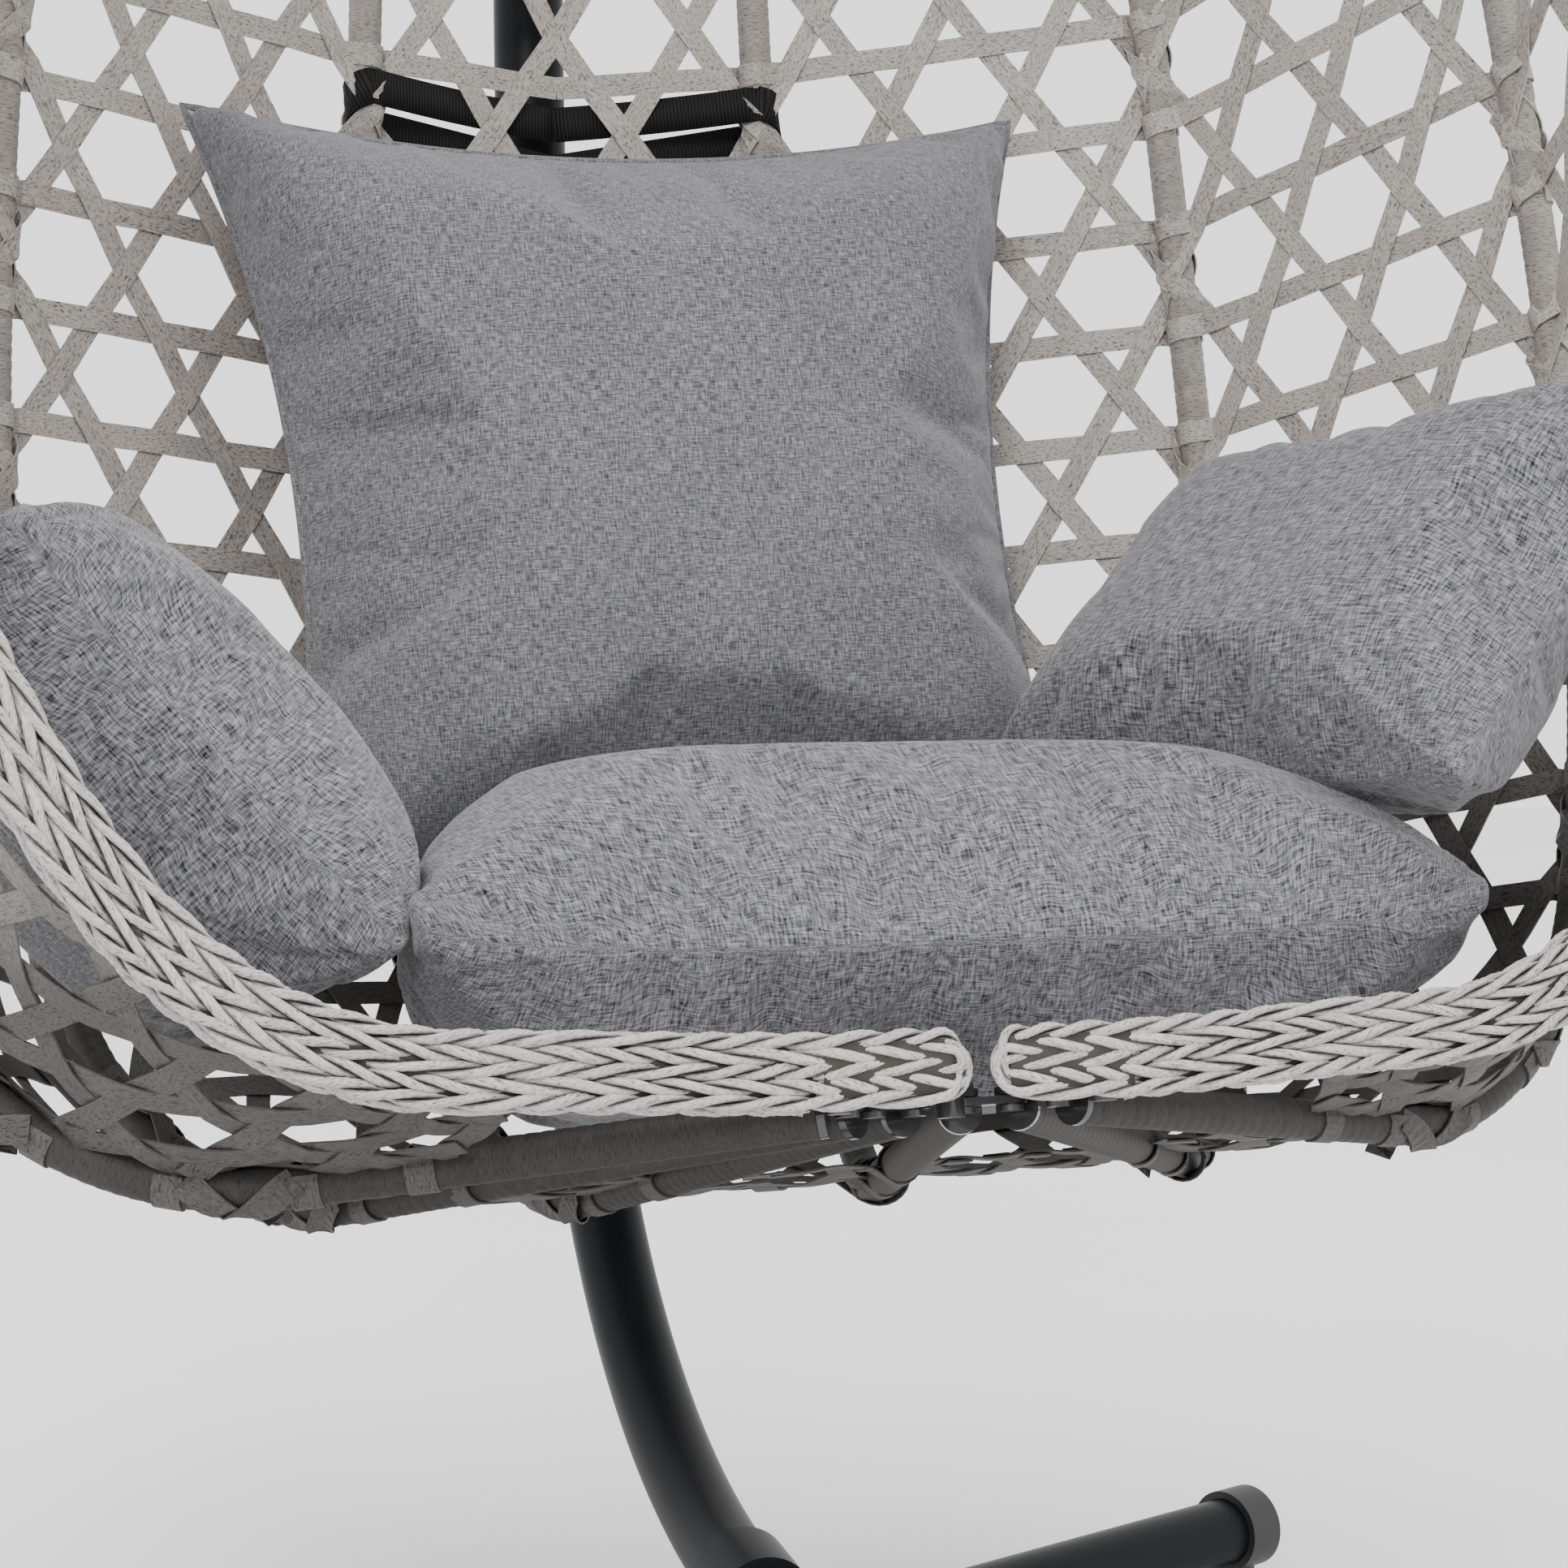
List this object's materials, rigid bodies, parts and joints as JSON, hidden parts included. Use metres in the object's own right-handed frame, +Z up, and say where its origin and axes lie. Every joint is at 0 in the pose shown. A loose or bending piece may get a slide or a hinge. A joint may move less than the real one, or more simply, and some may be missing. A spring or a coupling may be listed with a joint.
{
  "type": "hanging egg chair",
  "caption": "Hanging egg chair: a folding woven basket with cushions on a curved pole and a legged base; it swings, swivels, bounces and folds flat.",
  "frame": {"origin": "on the floor, under the middle of the bounding box", "axes": "+Z up, the seat opens towards -Y, X across the seat"},
  "size_m": [1.078, 0.9481, 1.958],
  "materials": {
    "stand_paint": "satin powder coat",
    "black_plastic": "matt",
    "dark_steel": "gloss",
    "fastener_steel": "satin",
    "zinc_steel": "bright",
    "wicker": "synthetic rattan strip",
    "wicker_wrap": "synthetic rattan strip",
    "wicker_braid": "plaited synthetic rattan",
    "cushion_fabric": "woven polyester"
  },
  "bodies": {
    "stand": {"base_hub": "stand_paint", "leg_rear_left": "stand_paint", "leg_rear_right": "stand_paint", "leg_front_left": "stand_paint", "leg_front_right": "stand_paint", "leg_caps": "black_plastic", "hub_bolts": "fastener_steel", "pole_lower": "stand_paint", "pole_upper": "stand_paint", "pole_sleeve": "stand_paint", "sleeve_bolts": "fastener_steel", "pole_top_cap": "black_plastic", "pole_eye": "stand_paint"},
    "carabiner": {"carabiner": "zinc_steel"},
    "swivel_eye": {"swivel_eye": "zinc_steel"},
    "spring_head": {"swivel_housing": "dark_steel", "spring": "dark_steel"},
    "core": {"spring_plug_lower": "dark_steel", "bracket_lower": "dark_steel", "bracket_upper": "dark_steel", "pins_bracket": "fastener_steel", "seat_cushion": "cushion_fabric", "back_pillow": "cushion_fabric", "bolster_left": "cushion_fabric", "bolster_right": "cushion_fabric", "panel_back_left": "wicker", "panel_back_right": "wicker"},
    "fan_1_left": {"rib_1_left": "wicker_wrap", "lugs_rib_1_left": "dark_steel", "pins_rib_1_left": "fastener_steel", "panel_inner_left": "wicker"},
    "fan_2_left": {"rib_2_left": "wicker_wrap", "lugs_rib_2_left": "dark_steel", "pins_rib_2_left": "fastener_steel", "panel_middle_left": "wicker"},
    "fan_3_left": {"rib_3_left": "wicker_wrap", "lugs_rib_3_left": "dark_steel", "pins_rib_3_left": "fastener_steel", "panel_outer_left": "wicker"},
    "fan_rim_left": {"rim_left": "wicker_wrap", "lugs_rim_left": "dark_steel", "braid_left": "wicker_braid"},
    "fan_1_right": {"rib_1_right": "wicker_wrap", "lugs_rib_1_right": "dark_steel", "pins_rib_1_right": "fastener_steel", "panel_inner_right": "wicker"},
    "fan_2_right": {"rib_2_right": "wicker_wrap", "lugs_rib_2_right": "dark_steel", "pins_rib_2_right": "fastener_steel", "panel_middle_right": "wicker"},
    "fan_3_right": {"rib_3_right": "wicker_wrap", "lugs_rib_3_right": "dark_steel", "pins_rib_3_right": "fastener_steel", "panel_outer_right": "wicker"},
    "fan_rim_right": {"rim_right": "wicker_wrap", "lugs_rim_right": "dark_steel", "braid_right": "wicker_braid"}
  },
  "joints": [
    {"name": "swing_fore_aft", "type": "hinge", "parent": "stand", "child": "carabiner", "pos_m": [0, 0.0105, 1.882], "axis": [1, 0, 0], "range_deg": [-14, 1.5]},
    {"name": "swing_sideways", "type": "hinge", "parent": "carabiner", "child": "swivel_eye", "pos_m": [0, 0.0105, 1.8207], "axis": [0, 1, 0], "range_deg": [-4, 4]},
    {"name": "swivel", "type": "hinge", "parent": "swivel_eye", "child": "spring_head", "pos_m": [0, 0.0105, 1.7807], "axis": [0, 0, 1], "range_deg": [-25, 25]},
    {"name": "spring_stretch", "type": "slide", "parent": "spring_head", "child": "core", "axis": [0, 0, -1], "range_m": [0, 0.03], "stiffness_N_per_m": 30000, "springref_m": -0.0165, "deforming": ["spring"]},
    {"name": "fold_1_left", "type": "hinge", "parent": "core", "child": "fan_1_left", "pos_m": [-0.013, -0.33108, 0.40355], "axis": [0, 0.2224, 0.975], "range_deg": [-12.8, 0], "deforming": ["panel_back_left"]},
    {"name": "fold_2_left", "type": "hinge", "parent": "fan_1_left", "child": "fan_2_left", "pos_m": [-0.0364, -0.33626, 0.40473], "axis": [0, 0.2224, 0.975], "range_deg": [-25.6, 0], "deforming": ["panel_inner_left"]},
    {"name": "fold_3_left", "type": "hinge", "parent": "fan_2_left", "child": "fan_3_left", "pos_m": [-0.05521, -0.3508, 0.40804], "axis": [0, 0.2224, 0.975], "range_deg": [-25.6, 0], "deforming": ["panel_middle_left"]},
    {"name": "fold_rim_left", "type": "hinge", "parent": "fan_3_left", "child": "fan_rim_left", "pos_m": [-0.06836, -0.37708, 0.41404], "axis": [0, 0.2224, 0.975], "range_deg": [-25.6, 0], "deforming": ["panel_outer_left"]},
    {"name": "fold_1_right", "type": "hinge", "parent": "core", "child": "fan_1_right", "pos_m": [0.013, -0.33108, 0.40355], "axis": [0, 0.2224, 0.975], "range_deg": [0, 12.8], "deforming": ["panel_back_right"]},
    {"name": "fold_2_right", "type": "hinge", "parent": "fan_1_right", "child": "fan_2_right", "pos_m": [0.0364, -0.33626, 0.40473], "axis": [0, 0.2224, 0.975], "range_deg": [0, 25.6], "deforming": ["panel_inner_right", "seat_cushion", "back_pillow", "bolster_left", "bolster_right"]},
    {"name": "fold_3_right", "type": "hinge", "parent": "fan_2_right", "child": "fan_3_right", "pos_m": [0.05521, -0.3508, 0.40804], "axis": [0, 0.2224, 0.975], "range_deg": [0, 25.6], "deforming": ["panel_middle_right"]},
    {"name": "fold_rim_right", "type": "hinge", "parent": "fan_3_right", "child": "fan_rim_right", "pos_m": [0.06836, -0.37708, 0.41404], "axis": [0, 0.2224, 0.975], "range_deg": [0, 25.6], "deforming": ["panel_outer_right"]}
  ],
  "couplings": [
    {"joint": "fold_1_left", "follows": "fold_2_right", "ratio": -0.5},
    {"joint": "fold_2_left", "follows": "fold_2_right", "ratio": -1},
    {"joint": "fold_3_left", "follows": "fold_2_right", "ratio": -1},
    {"joint": "fold_rim_left", "follows": "fold_2_right", "ratio": -1},
    {"joint": "fold_1_right", "follows": "fold_2_right", "ratio": 0.5},
    {"joint": "fold_3_right", "follows": "fold_2_right", "ratio": 1},
    {"joint": "fold_rim_right", "follows": "fold_2_right", "ratio": 1}
  ]
}
